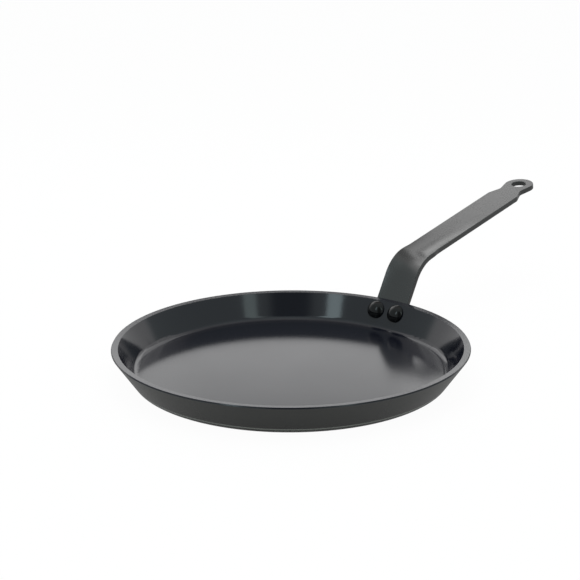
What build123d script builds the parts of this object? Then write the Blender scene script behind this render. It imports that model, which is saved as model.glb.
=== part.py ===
"""A riveted crepe pan: a shallow flared pan body, a bent strip handle with an eye, and two rivets.

The frame is the pan's own: the origin is the middle of the flat underside, +Z is up, and the
handle lies along +X, so the object is symmetric about the XZ plane. Sizes are in millimetres
and angles in degrees.
"""
from build123d import *
import math
import os

# Pan body. Its corners are measured sharp, before they are rounded, and the wall's flare is how
# far the rim stands out past the base.
RIM_RADIUS = 130.0
PAN_HEIGHT = 24.3
RIM_BEVEL_WIDTH = 0.55
RIM_BEVEL_DROP = 0.95
RIM_LAND = 4.4
RIM_LAND_SLOPE = 5.0
WALL_FLARE = 16.1
WALL_AT_FLOOR = 2.0
BASE_ROUND = 5.5
FLOOR_THICKNESS = 4.2
FLOOR_ROUND = 6.2

# Handle strip: it lies on the wall, rises past the rim and bends out to the grip. From its
# pad's width it is cut in on each side at the waist and, by less, at the shoulders.
STRIP_THICKNESS = 4.0
STRIP_EDGE_ROUND = 0.5
PAD_WIDTH = 28.7
PAD_BELOW_RIVETS = 8.5
PAD_CORNER_ROUND = 4.0
RISER_REACH = 18.2
RISER_RISE = 31.15
BEND_ROUND = 33.0
GRIP_SLOPE = 9.1
WAIST_CUT = 0.8
WAIST_AFTER_BEND = 10.0
WAIST_TAPER = 7.5
WAIST_ROUND = 40.0
SHOULDER_CUT = 0.15
SHOULDER_AFTER_WAIST = 125.0
SHOULDER_ROUND = 6.0
NECK_WIDTH = 19.6
NECK_AFTER_SHOULDER = 12.6
NECK_ROUND = 8.0
EYE_AFTER_SHOULDER = 27.7
EYE_RADIUS = 12.5
HANGING_HOLE_RADIUS = 6.2
HANGING_HOLE_CHAMFER = 0.5

# A face of the strip counts as an upper one if it is turned this little from up and in.
UPPER_FACE_ANGLE = 60

# Rivets: a domed head inside the pan, a shank, and a smaller flat head closed over the strip.
# Their axes stand this share of the pad's width apart.
RIVET_SPACING_SHARE = 0.655
RIVET_BELOW_RIM = 10.1
RIVET_SHANK_RADIUS = 3.0
HEAD_RADIUS = 7.0
HEAD_HEIGHT = 4.2
HEAD_SKIRT = 1.1
CLOSED_HEAD_RADIUS = 4.3
CLOSED_HEAD_HEIGHT = 1.8
CLOSED_HEAD_CHAMFER = 1.0

# Blanks and cutting tools run past what they shape by this much.
OVERRUN = 8.0


def direction(angle):
    """The unit vector at an angle above the X axis, in the XZ plane."""
    return Vector(math.cos(math.radians(angle)), 0, math.sin(math.radians(angle)))


def below(angle):
    """The unit vector square to direction(angle), on its lower, outer side."""
    return direction(angle - 90)


def rounded(face, corners):
    """A flat face with the corner nearest each given point rounded to the given radius."""
    for point, radius in corners:
        corner = min(face.vertices(), key=lambda vertex: (Vector(*vertex) - point).length)
        face = fillet(corner, radius)
    return face


# The pan's corners in the XZ plane, and the two faces of its wall.
BASE_CORNER = Vector(RIM_RADIUS - WALL_FLARE, 0, 0)
RIM_EDGE = Vector(RIM_RADIUS, 0, PAN_HEIGHT - RIM_BEVEL_DROP)
RIM_TOP = Vector(RIM_RADIUS - RIM_BEVEL_WIDTH, 0, PAN_HEIGHT)
LIP = RIM_TOP - Vector(RIM_LAND, 0, RIM_LAND * math.tan(math.radians(RIM_LAND_SLOPE)))
OUTER_WALL_ANGLE = math.degrees(math.atan2(RIM_EDGE.Z, WALL_FLARE))
WALL_RISE = direction(OUTER_WALL_ANGLE).Z
FLOOR_CORNER = BASE_CORNER + direction(OUTER_WALL_ANGLE) * (FLOOR_THICKNESS / WALL_RISE)
FLOOR_CORNER -= Vector(WALL_AT_FLOOR / WALL_RISE, 0, 0)
INNER_WALL_ANGLE = math.degrees(math.atan2(LIP.Z - FLOOR_CORNER.Z, LIP.X - FLOOR_CORNER.X))

# The rivets stand square to the middle of the wall, whose faces aren't quite parallel.
RIVET_SEAT = RIM_EDGE - direction(OUTER_WALL_ANGLE) * RIVET_BELOW_RIM
RIVET_AXIS_ANGLE = (OUTER_WALL_ANGLE + INNER_WALL_ANGLE) / 2
RIVET_TURN = math.degrees(math.asin(PAD_WIDTH * RIVET_SPACING_SHARE / 2 / RIVET_SEAT.X))

# The strip lies on the wall up to the rim's edge, where it leaves the pan.
PAD_END = RIVET_SEAT - direction(OUTER_WALL_ANGLE) * PAD_BELOW_RIVETS

# The strip's upper face: up the riser to the corner of the bend, then out along the grip.
RISER_ANGLE = math.degrees(math.atan2(RISER_RISE, RISER_REACH))
BEND_TURN = RISER_ANGLE - GRIP_SLOPE
BEND_TANGENT = BEND_ROUND * math.tan(math.radians(BEND_TURN) / 2)
BEND_CORNER = RIM_EDGE + Vector(RISER_REACH, 0, RISER_RISE)
BEND_START = BEND_CORNER - direction(RISER_ANGLE) * BEND_TANGENT
WAIST = BEND_TANGENT + WAIST_AFTER_BEND
SHOULDER = WAIST + SHOULDER_AFTER_WAIST
NECK = SHOULDER + NECK_AFTER_SHOULDER
EYE = SHOULDER + EYE_AFTER_SHOULDER
GRIP_PLANE = Plane(origin=BEND_CORNER, x_dir=direction(GRIP_SLOPE), z_dir=-below(GRIP_SLOPE))
BLANK_WIDTH = PAD_WIDTH + OVERRUN


def pan_blank():
    """The pan body, turned about its axis, before its rivet holes are drilled."""
    floor_middle = Vector(0, 0, FLOOR_THICKNESS)
    outline = [Vector(), BASE_CORNER, RIM_EDGE, RIM_TOP, LIP, FLOOR_CORNER, floor_middle]
    corners = [(BASE_CORNER, BASE_ROUND), (FLOOR_CORNER, FLOOR_ROUND)]
    return revolve(rounded(make_face(Polyline(*outline, close=True)), corners), Axis.Z)


def rivet_seat():
    """The plane on the outer wall that a rivet is built from, with its Z axis out of the pan."""
    return Plane(origin=RIVET_SEAT, x_dir=(0, 1, 0), z_dir=below(RIVET_AXIS_ANGLE))


def domed_head():
    """The head inside the pan, on the XY plane: a dome on a skirt that is sunk by its own height."""
    edge = Vector(HEAD_RADIUS, HEAD_SKIRT)
    top = Vector(0, HEAD_HEIGHT)
    outline = [
        Polyline(top, Vector(0, -HEAD_SKIRT), Vector(HEAD_RADIUS, -HEAD_SKIRT), edge),
        TangentArc(top, edge, tangent=(1, 0)),
    ]
    return revolve(Plane.XZ * make_face(outline), Axis.Z)


def closed_head():
    """The head closed over the strip: a disc with a sloped edge, sunk by half of its height."""
    disc = Cylinder(CLOSED_HEAD_RADIUS, 2 * CLOSED_HEAD_HEIGHT)
    return chamfer(disc.edges().sort_by(Axis.Z)[-1], CLOSED_HEAD_CHAMFER)


def rivet_blank():
    """One rivet before it is set, at the middle of the strip."""
    inner_normal = below(INNER_WALL_ANGLE)
    wall = (RIVET_SEAT - LIP).dot(inner_normal) / below(RIVET_AXIS_ANGLE).dot(inner_normal)
    shank = Pos(0, 0, (STRIP_THICKNESS - wall) / 2) * Cylinder(RIVET_SHANK_RADIUS, wall + STRIP_THICKNESS)
    head = Pos(0, 0, -wall) * Rot(180, 0, 0) * domed_head()
    return rivet_seat() * (shank + head + Pos(0, 0, STRIP_THICKNESS) * closed_head())


def pad_blank():
    """The strip's lower end, rolled to the cone of the wall that it lies on."""
    wall_up = direction(OUTER_WALL_ANGLE)
    through = below(OUTER_WALL_ANGLE) * STRIP_THICKNESS
    beyond = RIM_EDGE + wall_up * OVERRUN
    section = make_face(Polyline(PAD_END, beyond, beyond + through, PAD_END + through, close=True))
    half_turn = math.degrees(math.asin((BLANK_WIDTH + OVERRUN) / 2 / PAD_END.X))
    rolled = Rot(0, 0, -half_turn) * revolve(section, Axis.Z, 2 * half_turn)
    reach = RIM_RADIUS + OVERRUN
    sides = Box(2 * reach, BLANK_WIDTH, 2 * reach)
    return split(rolled & sides, Plane(origin=RIM_EDGE, z_dir=wall_up), keep=Keep.BOTTOM)


def riser_blank(pad):
    """The stretch that flattens out between the rolled pad and the start of the bend."""
    rolled_end = pad.faces().sort_by(Axis(RIM_EDGE, direction(OUTER_WALL_ANGLE)))[-1]
    middle = BEND_START + below(RISER_ANGLE) * (STRIP_THICKNESS / 2)
    square = Plane(origin=middle, x_dir=(0, 1, 0), z_dir=direction(RISER_ANGLE))
    flat_end = square * Rectangle(BLANK_WIDTH, STRIP_THICKNESS)
    return loft([rolled_end, flat_end.face()])


def grip_blank():
    """The bend and the flat grip, as a strip that runs past the eye."""
    bend_finish = BEND_CORNER + direction(GRIP_SLOPE) * BEND_TANGENT
    tip = BEND_CORNER + direction(GRIP_SLOPE) * (EYE + EYE_RADIUS + OVERRUN)
    riser_lower = BEND_START + below(RISER_ANGLE) * STRIP_THICKNESS
    under = below(GRIP_SLOPE) * STRIP_THICKNESS
    outline = [
        TangentArc(BEND_START, bend_finish, tangent=direction(RISER_ANGLE)),
        Polyline(bend_finish, tip, tip + under, bend_finish + under),
        TangentArc(riser_lower, bend_finish + under, tangent=direction(RISER_ANGLE)),
        Line(riser_lower, BEND_START),
    ]
    return extrude(make_face(outline), BLANK_WIDTH / 2, dir=(0, 1, 0), both=True)


def grip_outline():
    """The strip's outline seen square to the grip: pad, waist, shoulders, neck and eye."""
    start = GRIP_PLANE.to_local_coords(PAD_END).X - OVERRUN
    neck_from_eye = Vector(NECK - EYE, NECK_WIDTH / 2)
    bearing = math.atan2(neck_from_eye.Y, neck_from_eye.X)
    bearing -= math.acos(EYE_RADIUS / neck_from_eye.length)
    tangent = Vector(EYE + EYE_RADIUS * math.cos(bearing), EYE_RADIUS * math.sin(bearing))
    side = [
        Vector(start, PAD_WIDTH / 2),
        Vector(WAIST - WAIST_TAPER, PAD_WIDTH / 2),
        Vector(WAIST, PAD_WIDTH / 2 - WAIST_CUT),
        Vector(SHOULDER, PAD_WIDTH / 2 - SHOULDER_CUT),
        Vector(NECK, NECK_WIDTH / 2),
        tangent,
    ]
    rounds = [WAIST_ROUND, WAIST_ROUND, SHOULDER_ROUND, NECK_ROUND]
    other_side = [Vector(point.X, -point.Y) for point in side]
    corners = list(zip(side[1:-1], rounds)) + list(zip(other_side[1:-1], rounds))
    strip = rounded(make_face(Polyline(*side, *reversed(other_side), close=True)), corners)
    return strip + Pos(EYE, 0) * Circle(EYE_RADIUS)


def upper_edges(strip):
    """The edges round the strip's upper side, which faces the pan's axis and then turns up."""
    up_and_in = -below(GRIP_SLOPE + BEND_TURN / 2)
    upper, sides = set(), set()
    for face in strip.faces():
        turned_away = face.normal_at().get_angle(up_and_in)
        if turned_away < UPPER_FACE_ANGLE:
            upper.update(face.edges())
        elif turned_away < 180 - UPPER_FACE_ANGLE:
            sides.update(face.edges())
    return upper & sides


def handle_strip():
    """The strip cut to its outline, with its lower corners rounded, its upper edges eased as a
    press leaves them, and the hanging hole drilled and countersunk."""
    pad = pad_blank()
    blank = pad + riser_blank(pad) + grip_blank()
    reach = RIM_RADIUS + RISER_RISE
    strip = blank & extrude(GRIP_PLANE * grip_outline(), reach, both=True)
    end = PAD_END + below(OUTER_WALL_ANGLE) * (STRIP_THICKNESS / 2)
    for side in (PAD_WIDTH / 2, -PAD_WIDTH / 2):
        corner = end + Vector(0, side, 0)
        edge = min(strip.edges(), key=lambda edge: (edge.center() - corner).length)
        strip = fillet(edge, PAD_CORNER_ROUND)
    strip = fillet(upper_edges(strip), STRIP_EDGE_ROUND)
    eye = GRIP_PLANE * Pos(EYE, 0)
    drilled = strip - eye * Cylinder(HANGING_HOLE_RADIUS, 2 * (STRIP_THICKNESS + OVERRUN))
    mouths = drilled.edges().filter_by(GeomType.CIRCLE).sort_by_distance(eye.position)[:2]
    return chamfer(mouths, HANGING_HOLE_CHAMFER)


def crepe_pan():
    """Every piece by name. The rivets fill their holes and their heads take the walls' curves."""
    hole = rivet_seat() * Cylinder(RIVET_SHANK_RADIUS, 2 * (STRIP_THICKNESS + OVERRUN))
    turns = {"rivet_left": Rot(0, 0, RIVET_TURN), "rivet_right": Rot(0, 0, -RIVET_TURN)}
    holes = [turn * hole for turn in turns.values()]
    pan = pan_blank() - holes
    handle = handle_strip() - holes
    rivets = {name: turn * rivet_blank() - pan - handle for name, turn in turns.items()}
    return {"pan_body": pan, "handle": handle} | rivets


os.makedirs("parts", exist_ok=True)
for node, piece in crepe_pan().items():
    export_step(piece, f"parts/{node}.step")
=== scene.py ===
"""The look, the light and the camera for a riveted crepe pan on a pale floor.

The pan, its strip handle and the two rivets come from the frame at their real shape. This script
gives each of them its finish, and sets up a plain studio around them. Lengths are in metres.
"""
import bmesh
import bpy
import math
from mathutils import Matrix, Vector


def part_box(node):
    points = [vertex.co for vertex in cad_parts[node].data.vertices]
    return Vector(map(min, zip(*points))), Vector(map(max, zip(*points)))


# The camera, as the photograph shows the pan: the handle points this far to the left of the
# picture's right, seen from above, and the camera looks down along the picture's depth.
HANDLE_TURN = math.radians(51.8)
CAMERA_PLACE = Vector((-0.0005, -1.0308, 0.3786))
CAMERA_PITCH = math.radians(16.97)
CAMERA_ROLL = math.radians(0.242)
FOCAL_LENGTH_IN_WIDTHS = 1500 / 580
SENSOR_WIDTH_MM = 36.0

# The pan's coat: its colours, how rough it is, how much rougher it is in places, how strongly it
# mirrors, and how far its roughness varies. The leans are the upward share of the way that a face
# looks, which tells the outer wall, the inner wall and the level floor apart. Patches, grain and
# peel are counted in grains per metre.
PAN_INSIDE = (0.0085, 0.0095, 0.0160)
PAN_OUTSIDE = (0.0520, 0.0520, 0.0480)
PAN_GLOSS, PAN_IOR = 0.11, 1.6
OUTSIDE_ROUGHER, FLOOR_ROUGHER, RIM_ROUGHER = 0.14, 0.04, 0.05
OUTSIDE_LEAN, WALL_LEAN, FLOOR_LEAN = -0.2, 0.7, 0.97
PAN_GLOSS_SPREAD, PAN_PATCHES, PAN_GRAIN = 0.012, 18.0, 900.0
PAN_PEEL, PAN_PEEL_DEPTH = 700.0, 0.000006

# The coats of the handle and the rivets, in the same way.
HANDLE_COAT, HANDLE_GLOSS, HANDLE_IOR = (0.012, 0.012, 0.012), 0.26, 1.9
HANDLE_GLOSS_SPREAD, HANDLE_PATCHES, HANDLE_GRAIN = 0.03, 45.0, 1500.0
HANDLE_PEEL, HANDLE_PEEL_DEPTH = 1400.0, 0.000005
RIVET_COAT, RIVET_GLOSS, RIVET_IOR = (0.003, 0.003, 0.0035), 0.11, 1.45
RIVET_GLOSS_SPREAD, RIVET_PATCHES, RIVET_GRAIN = 0.02, 250.0, 2500.0
RIVET_PEEL, RIVET_PEEL_DEPTH = 500.0, 0.00001

# How patches and grain mix in every coat's roughness, how fine a noise is, and where it nears its
# two ends.
PATCH_SHARE = 0.6
NOISE_DETAIL = 2.0
NOISE_LOW, NOISE_HIGH = 0.3, 0.7

# The pan's rim: how wide its finely turned land is, how deep its lower edge lies, and its
# grooves, counted per metre.
RIM_LAND = 0.0050
RIM_LAND_DEPTH = 0.0007
RIM_LAND_FADE = 0.0002
RIM_GROOVES, RIM_GROOVE_DETAIL, RIM_GROOVE_DEPTH = 3500.0, 3.0, 0.00002

# A painted highlight on the base's lower edge: a light line painted into the outer coat between two
# heights, standing for the base's reflection of the floor.
BASE_HIGHLIGHT_COLOUR = (0.50, 0.50, 0.46)
BASE_HIGHLIGHT_LOW, BASE_HIGHLIGHT_HIGH, BASE_HIGHLIGHT_FADE = 0.0034, 0.0038, 0.0007

# The strip of the handle is a little hollow across where it bends, and this runs out along the
# grip. The depth is at the strip's edges, and the places lie along the handle. The lean tells its
# upper side from its lower side. Its waves are counted per metre.
HOLLOW_DEPTH = 0.0024
HOLLOW_START, HOLLOW_END = (0.116, 0.152), (0.178, 0.240)
STRIP_SIDE_LEAN = 0.1
WAVES, WAVE_DEPTH = 18.0, 0.00025

# The studio's floor, round and pale. The camera sees it as almost white. It lies a hair below the
# pan's base, so that their faces don't coincide.
FLOOR_RADIUS = 6.0
FLOOR_SEGMENTS = 96
FLOOR_DROP = 0.0001
FLOOR_COLOUR = (0.45, 0.45, 0.45)
FLOOR_GLOW_SHARE = 0.90
FLOOR_GLOW = 1.07
FLOOR_SHEEN_SHARE = 0.80
# In reflections the floor glows with a painted shadow: less near the pan than far from it, eased between
# two reaches from the pan's middle.
FLOOR_SHADOWED_SHEEN, FLOOR_FAR_SHEEN, FLOOR_PAINTED_SHADOW_REACH = 0.34, 0.38, (0.18, 0.45)

# The studio's light, by the angle above the floor and by the angle to either side of the way
# that the camera looks. The room and its roof are all around, a little blue but for the part
# behind the pan. There a wide panel is lighter, and in its middle the back is lightest low down,
# with a dark gap over it. The dark part is behind the camera. Each pair of angles, in degrees, is
# where a part starts and ends to fade.
ROOM_LIGHT, ROOF_LIGHT, ROOF_RISE = 0.46, 0.62, (45.0, 75.0)
ROOM_TINT = (0.88, 0.98, 0.98)
PANEL_LIGHT, PANEL_TOP, PANEL_SIDE = 0.90, (42.0, 60.0), (57.0, 67.0)
PANEL_LOW_LIGHT, PANEL_LOW_RISE = 0.80, (9.0, 17.0)
BACK_LIGHT, BACK_LOW_LIGHT, BACK_LOW_RISE, BACK_SIDE = 1.50, 0.85, (9.0, 16.0), (27.0, 38.0)
GAP_LIGHT, GAP_RISE, GAP_TOP = 0.34, (18.5, 25.5), (62.0, 80.0)
DARK_SHARE, DARK_SIDE, DARK_TOP = 0.30, (156.0, 171.0), (48.0, 68.0)
WHITE = (1.0, 1.0, 1.0)

# The lamps, in the picture's axes (right, away, up). The fill hangs over the pan. The panels stand
# behind it, all as far away: each has its place to the right and up, its width and height, and its
# radiance. The strips stand in front: each has its place, its width and length, its radiance and
# its tint.
FILL_PLACE, FILL_SIZE, FILL_LIGHT = (0.0, 0.0, 1.6), (1.6, 1.6), 1.0
PANELS_AWAY = 1.0
PANELS = {
    "back_left": (-0.46, 0.74, (0.60, 0.60), 0.90),
    "back_right": (0.42, 0.79, (0.68, 0.50), 0.74),
    "back_low": (0.46, 0.465, (0.60, 0.09), 1.20),
    "back_top": (-0.08, 0.90, (0.32, 0.44), 1.10),
}
STRIPS = {
    "left_strip": ((-0.46, -0.59, 0.75), (0.17, 0.50), 2.2, (0.76, 0.95, 1.0)),
    "right_strip": ((0.43, -0.61, 0.75), (0.15, 0.50), 1.0, (0.80, 1.0, 0.99)),
}


def turned(place):
    """A place in the picture's own axes (right, away, up) as a place beside the pan."""
    return Matrix.Rotation(-HANDLE_TURN, 3, "Z") @ Vector(place)


def far_corner(name):
    """The corner of a piece's box that is farthest along every axis."""
    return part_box(name)[1]


# Each material is a small tree of nodes. These helpers add a node and join it to others.
def node(tree, kind, settings=None, inputs=None):
    """A new shader node with its settings, and its inputs as values or as other nodes' outputs."""
    made = tree.nodes.new(kind)
    for name, value in (settings or {}).items():
        setattr(made, name, value)
    for name, value in (inputs or {}).items():
        socket = made.inputs[name]
        if isinstance(value, bpy.types.NodeSocket):
            tree.links.new(value, socket)
        else:
            socket.default_value = value
    return made


def calc(tree, operation, *values):
    """The output of one Math node."""
    return node(tree, "ShaderNodeMath", {"operation": operation}, dict(enumerate(values))).outputs[0]


def ramp(tree, value, start, end, low=0.0, high=1.0):
    """The value eased from low at start to high at end."""
    inputs = {"Value": value, "From Min": start, "From Max": end, "To Min": low, "To Max": high}
    return node(tree, "ShaderNodeMapRange", {"interpolation_type": "SMOOTHSTEP"}, inputs).outputs[0]


def noise(tree, place, scale):
    """A noise between 0 and 1 over a place, with its scale in grains per metre."""
    inputs = {"Vector": place, "Scale": scale, "Detail": NOISE_DETAIL}
    return node(tree, "ShaderNodeTexNoise", None, inputs).outputs["Fac"]


def blend_colour(tree, share, first, second):
    """A colour between two, by the share of the second. A Mix node's share is its input 0, its
    colours are its inputs 6 and 7, and its mixed colour is its output 2."""
    mixer = node(tree, "ShaderNodeMix", {"data_type": "RGBA"})
    tree.links.new(share, mixer.inputs[0])
    for socket, colour in ((mixer.inputs[6], first), (mixer.inputs[7], second)):
        if isinstance(colour, bpy.types.NodeSocket):
            tree.links.new(colour, socket)
        else:
            socket.default_value = (*colour, 1.0)
    return mixer.outputs[2]


def bump(tree, height, depth, normal=None):
    """A normal bent by a height of at most 1 either way, where 1 stands for the depth in metres."""
    inputs = {"Height": height, "Strength": 1.0, "Distance": depth}
    if normal is not None:
        inputs["Normal"] = normal
    return node(tree, "ShaderNodeBump", None, inputs).outputs["Normal"]


def finish(name, colour, roughness, ior):
    """A material with one shader, its tree, and the place on the object that patterns read."""
    material = bpy.data.materials.new(name)
    material.use_nodes = True
    tree = material.node_tree
    shader = tree.nodes["Principled BSDF"]
    shader.inputs["Base Color"].default_value = (*colour, 1.0)
    shader.inputs["Roughness"].default_value = roughness
    shader.inputs["IOR"].default_value = ior
    place = node(tree, "ShaderNodeTexCoord").outputs["Object"]
    return material, tree, shader, place


def uneven_roughness(tree, place, middle, spread, patch_scale, grain_scale):
    """A roughness that drifts in broad patches and varies a little from grain to grain."""
    patches = noise(tree, place, patch_scale)
    grains = noise(tree, place, grain_scale)
    both = calc(tree, "ADD", calc(tree, "MULTIPLY", patches, PATCH_SHARE),
                calc(tree, "MULTIPLY", grains, 1 - PATCH_SHARE))
    return ramp(tree, both, NOISE_LOW, NOISE_HIGH, middle - spread, middle + spread)


def ring(tree, value, low, high, fade_width):
    """One between two values, eased to zero over a width beyond each."""
    above = ramp(tree, value, low - fade_width, low)
    below = ramp(tree, value, high, high + fade_width, 1.0, 0.0)
    return calc(tree, "MULTIPLY", above, below)


def pan_coating():
    """Black non-stick coating: smooth inside, satin outside, finely turned on the rim, and with a light
    line painted on the base as a highlight.
    """
    material, tree, shader, place = finish("pan_coating", PAN_INSIDE, PAN_GLOSS, PAN_IOR)
    apart = node(tree, "ShaderNodeSeparateXYZ", None, {0: place}).outputs
    flat = node(tree, "ShaderNodeCombineXYZ", None, {"X": apart["X"], "Y": apart["Y"]}).outputs[0]
    radius = node(tree, "ShaderNodeVectorMath", {"operation": "LENGTH"}, {0: flat}).outputs["Value"]
    facing = node(tree, "ShaderNodeTexCoord").outputs["Normal"]
    lean = node(tree, "ShaderNodeSeparateXYZ", None, {0: facing}).outputs["Z"]
    outside = ramp(tree, lean, OUTSIDE_LEAN, -OUTSIDE_LEAN, 1.0, 0.0)
    level = ramp(tree, lean, WALL_LEAN, FLOOR_LEAN)
    rim = far_corner("pan_body")
    inner_edge = rim.x - RIM_LAND
    outwards = ramp(tree, radius, inner_edge, inner_edge + RIM_LAND_FADE)
    low_edge = rim.z - RIM_LAND_DEPTH
    upwards = ramp(tree, apart["Z"], low_edge - RIM_LAND_FADE, low_edge)
    on_land = calc(tree, "MULTIPLY", outwards, upwards)

    rough = uneven_roughness(tree, place, PAN_GLOSS, PAN_GLOSS_SPREAD, PAN_PATCHES, PAN_GRAIN)
    for share, more in ((outside, OUTSIDE_ROUGHER), (level, FLOOR_ROUGHER), (on_land, RIM_ROUGHER)):
        rough = calc(tree, "ADD", rough, calc(tree, "MULTIPLY", share, more))
    tree.links.new(rough, shader.inputs["Roughness"])

    # A painted highlight: the outer coat is painted light in a thin band between two heights on the base.
    painted_base_highlight = ring(tree, apart["Z"], BASE_HIGHLIGHT_LOW, BASE_HIGHLIGHT_HIGH, BASE_HIGHLIGHT_FADE)
    base_highlight_share = calc(tree, "MULTIPLY", outside, painted_base_highlight)
    coat = blend_colour(tree, outside, PAN_INSIDE, PAN_OUTSIDE)
    coat = blend_colour(tree, base_highlight_share, coat, BASE_HIGHLIGHT_COLOUR)
    tree.links.new(coat, shader.inputs["Base Color"])

    peel = bump(tree, noise(tree, place, PAN_PEEL), PAN_PEEL_DEPTH)
    inputs = {"W": radius, "Scale": RIM_GROOVES, "Detail": RIM_GROOVE_DETAIL}
    grooves = node(tree, "ShaderNodeTexNoise", {"noise_dimensions": "1D"}, inputs).outputs["Fac"]
    normal = bump(tree, calc(tree, "MULTIPLY", grooves, on_land), RIM_GROOVE_DEPTH, peel)
    tree.links.new(normal, shader.inputs["Normal"])
    return material


def handle_coating():
    """Satin dark coating of the pressed strip, with a fine grain and the strip's own slight waves."""
    material, tree, shader, place = finish("handle_coating", HANDLE_COAT, HANDLE_GLOSS, HANDLE_IOR)
    rough = uneven_roughness(tree, place, HANDLE_GLOSS, HANDLE_GLOSS_SPREAD, HANDLE_PATCHES, HANDLE_GRAIN)
    tree.links.new(rough, shader.inputs["Roughness"])
    apart = node(tree, "ShaderNodeSeparateXYZ", None, {0: place}).outputs
    facing = node(tree, "ShaderNodeTexCoord").outputs["Normal"]
    lean = node(tree, "ShaderNodeSeparateXYZ", None, {0: facing}).outputs["Z"]
    side = ramp(tree, lean, -STRIP_SIDE_LEAN, STRIP_SIDE_LEAN, -1.0, 1.0)
    half_width = far_corner("handle").y
    across = calc(tree, "POWER", calc(tree, "DIVIDE", apart["Y"], half_width), 2.0)
    stretch = calc(tree, "MULTIPLY", ramp(tree, apart["X"], *HOLLOW_START),
                   ramp(tree, apart["X"], *HOLLOW_END, 1.0, 0.0))
    hollow = calc(tree, "MULTIPLY", calc(tree, "MULTIPLY", across, stretch), side)
    normal = bump(tree, hollow, HOLLOW_DEPTH)
    normal = bump(tree, noise(tree, place, WAVES), WAVE_DEPTH, normal)
    normal = bump(tree, noise(tree, place, HANDLE_PEEL), HANDLE_PEEL_DEPTH, normal)
    tree.links.new(normal, shader.inputs["Normal"])
    return material


def rivet_coating():
    """Glossy black coating over the rivets, with the slight waviness of a pressed head."""
    material, tree, shader, place = finish("rivet_coating", RIVET_COAT, RIVET_GLOSS, RIVET_IOR)
    rough = uneven_roughness(tree, place, RIVET_GLOSS, RIVET_GLOSS_SPREAD, RIVET_PATCHES, RIVET_GRAIN)
    tree.links.new(rough, shader.inputs["Roughness"])
    normal = bump(tree, noise(tree, place, RIVET_PEEL), RIVET_PEEL_DEPTH)
    tree.links.new(normal, shader.inputs["Normal"])
    return material


def dress(frame):
    """Gives every piece its finish."""
    coats = {"pan_body": pan_coating(), "handle": handle_coating()}
    rivet = rivet_coating()
    for name, piece in frame["nodes"].items():
        piece.data.materials.clear()
        piece.data.materials.append(coats.get(name, rivet))


def floor_material():
    """Pale matt floor. The camera sees it almost white, with a faint shadow left in it. In reflections it
    glows, with a painted shadow that makes the glow dimmer near the pan.
    """
    material = bpy.data.materials.new("floor")
    material.use_nodes = True
    tree = material.node_tree
    tree.nodes.clear()
    matt = node(tree, "ShaderNodeBsdfDiffuse", None, {"Color": (*FLOOR_COLOUR, 1.0)})
    ray = node(tree, "ShaderNodeLightPath").outputs
    seen, mirrored = ray["Is Camera Ray"], ray["Is Glossy Ray"]
    place = node(tree, "ShaderNodeTexCoord").outputs["Object"]
    reach = node(tree, "ShaderNodeVectorMath", {"operation": "LENGTH"}, {0: place}).outputs["Value"]
    # A painted shadow: the glow that reflections see is dimmer near the pan than far from it.
    sheen_with_painted_shadow = ramp(tree, reach, *FLOOR_PAINTED_SHADOW_REACH, FLOOR_SHADOWED_SHEEN, FLOOR_FAR_SHEEN)
    strength = ramp(tree, seen, 0, 1, sheen_with_painted_shadow, FLOOR_GLOW)
    glow = node(tree, "ShaderNodeEmission", None, {"Color": (*WHITE, 1.0), "Strength": strength})
    share = calc(tree, "MULTIPLY_ADD", seen, FLOOR_GLOW_SHARE,
                 calc(tree, "MULTIPLY", mirrored, FLOOR_SHEEN_SHARE))
    inputs = {0: share, 1: matt.outputs[0], 2: glow.outputs[0]}
    mixed = node(tree, "ShaderNodeMixShader", None, inputs)
    node(tree, "ShaderNodeOutputMaterial", None, {"Surface": mixed.outputs[0]})
    return material


def floor():
    """The round floor that the pan stands on."""
    shape = bmesh.new()
    bmesh.ops.create_circle(shape, cap_ends=True, segments=FLOOR_SEGMENTS, radius=FLOOR_RADIUS)
    mesh = bpy.data.meshes.new("floor")
    shape.to_mesh(mesh)
    shape.free()
    mesh.materials.append(floor_material())
    made = bpy.data.objects.new("floor", mesh)
    made.location.z = -FLOOR_DROP
    bpy.context.scene.collection.objects.link(made)


def along(tree, way, other):
    """How far a direction goes along another one."""
    settings = {"operation": "DOT_PRODUCT"}
    return node(tree, "ShaderNodeVectorMath", settings, {0: way, 1: other}).outputs["Value"]


def fade(tree, angle, limits, low=0.0, high=1.0):
    """The angle eased from low to high between two limits in degrees."""
    start, end = (math.radians(limit) for limit in limits)
    return ramp(tree, angle, start, end, low, high)


def sideways(tree, way):
    """The angle of a direction to either side of the way that the camera looks."""
    right = along(tree, way, turned((1, 0, 0)))
    away = along(tree, way, turned((0, 1, 0)))
    return calc(tree, "ABSOLUTE", calc(tree, "ARCTAN2", right, away))


def studio_light(tree, way, aside):
    """How bright the studio is in a direction."""
    rise = calc(tree, "ARCSINE", along(tree, way, (0, 0, 1)))
    room = fade(tree, rise, ROOF_RISE, ROOM_LIGHT, ROOF_LIGHT)
    panel = fade(tree, rise, PANEL_LOW_RISE, PANEL_LOW_LIGHT, PANEL_LIGHT)
    in_panel = calc(tree, "MULTIPLY", fade(tree, rise, PANEL_TOP, 1, 0),
                    fade(tree, aside, PANEL_SIDE, 1, 0))
    light = ramp(tree, in_panel, 0, 1, room, panel)
    back = fade(tree, rise, BACK_LOW_RISE, BACK_LOW_LIGHT, BACK_LIGHT)
    back = ramp(tree, fade(tree, rise, GAP_RISE), 0, 1, back, GAP_LIGHT)
    in_back = calc(tree, "MULTIPLY", fade(tree, rise, GAP_TOP, 1, 0),
                   fade(tree, aside, BACK_SIDE, 1, 0))
    light = ramp(tree, in_back, 0, 1, light, back)
    in_dark = calc(tree, "MULTIPLY", fade(tree, rise, DARK_TOP, 1, 0), fade(tree, aside, DARK_SIDE))
    return calc(tree, "MULTIPLY", light, ramp(tree, in_dark, 0, 1, 1, DARK_SHARE))


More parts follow.
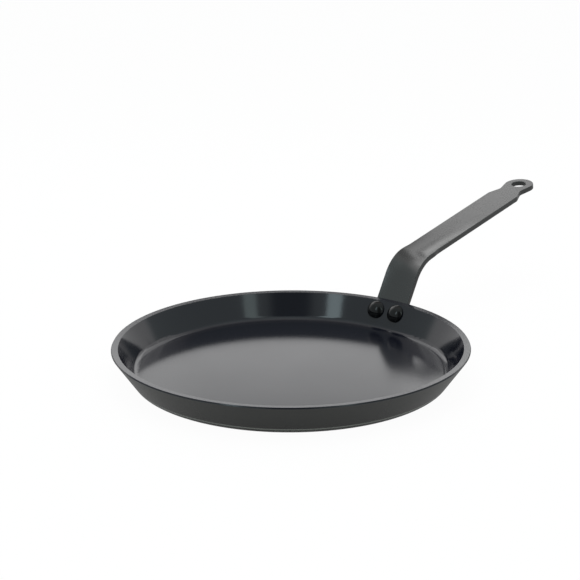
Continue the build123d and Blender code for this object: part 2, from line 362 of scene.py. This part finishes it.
def surroundings():
    """The studio that lights the pan and is mirrored in it. The camera sees white only."""
    world = bpy.data.worlds.new("studio")
    bpy.context.scene.world = world
    world.use_nodes = True
    tree = world.node_tree
    tree.nodes.clear()
    way = node(tree, "ShaderNodeTexCoord").outputs["Generated"]
    seen = node(tree, "ShaderNodeLightPath").outputs["Is Camera Ray"]
    aside = sideways(tree, way)
    light = calc(tree, "MAXIMUM", studio_light(tree, way, aside), seen)
    plain = calc(tree, "MAXIMUM", fade(tree, aside, PANEL_SIDE, 1, 0), seen)
    colour = blend_colour(tree, plain, ROOM_TINT, WHITE)
    sky = node(tree, "ShaderNodeBackground", None, {"Color": colour, "Strength": light})
    node(tree, "ShaderNodeOutputWorld", None, {"Surface": sky.outputs[0]})


def softbox(name, place, aim, size, radiance, tint=WHITE):
    """A flat lamp at a place in the picture's axes, aimed at another place, with its radiance."""
    width, height = size
    lamp = bpy.data.lights.new(name, "AREA")
    lamp.shape = "RECTANGLE"
    lamp.size, lamp.size_y = width, height
    lamp.energy = radiance * math.pi * width * height
    lamp.color = tint
    made = bpy.data.objects.new(name, lamp)
    made.location = turned(place)
    made.rotation_euler = turned(Vector(aim) - Vector(place)).to_track_quat("-Z", "Y").to_euler()
    made.visible_camera = False
    bpy.context.scene.collection.objects.link(made)
    return made


def lamps():
    """A wide soft fill overhead, which nothing mirrors, the panels behind and the strips in front."""
    pan = (0.0, 0.0, 0.0)
    fill = softbox("fill", FILL_PLACE, pan, FILL_SIZE, FILL_LIGHT)
    fill.visible_glossy = False
    for name, (side, height, size, radiance) in PANELS.items():
        softbox(name, (side, PANELS_AWAY, height), (side, 0.0, height), size, radiance)
    for name, (place, size, radiance, tint) in STRIPS.items():
        softbox(name, place, pan, size, radiance, tint)


def camera():
    """The camera at the photograph's place, with its own slight roll."""
    lens = bpy.data.cameras.new("camera")
    lens.sensor_width = SENSOR_WIDTH_MM
    lens.lens = SENSOR_WIDTH_MM * FOCAL_LENGTH_IN_WIDTHS
    made = bpy.data.objects.new("camera", lens)
    bpy.context.scene.collection.objects.link(made)
    heading = Matrix.Rotation(-HANDLE_TURN, 4, "Z")
    pitch = Matrix.Rotation(math.pi / 2 - CAMERA_PITCH, 4, "X")
    roll = Matrix.Rotation(-CAMERA_ROLL, 4, "Z")
    made.matrix_world = Matrix.Translation(turned(CAMERA_PLACE)) @ heading @ pitch @ roll
    bpy.context.scene.camera = made


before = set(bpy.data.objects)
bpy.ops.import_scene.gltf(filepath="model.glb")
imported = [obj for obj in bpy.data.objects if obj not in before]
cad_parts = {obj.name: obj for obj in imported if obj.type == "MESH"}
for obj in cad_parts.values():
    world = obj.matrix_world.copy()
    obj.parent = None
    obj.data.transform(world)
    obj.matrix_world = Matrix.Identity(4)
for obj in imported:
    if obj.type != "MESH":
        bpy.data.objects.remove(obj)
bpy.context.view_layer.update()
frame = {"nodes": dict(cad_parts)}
bpy.context.scene.view_settings.view_transform = "Standard"
dress(frame)
floor()
surroundings()
lamps()
camera()
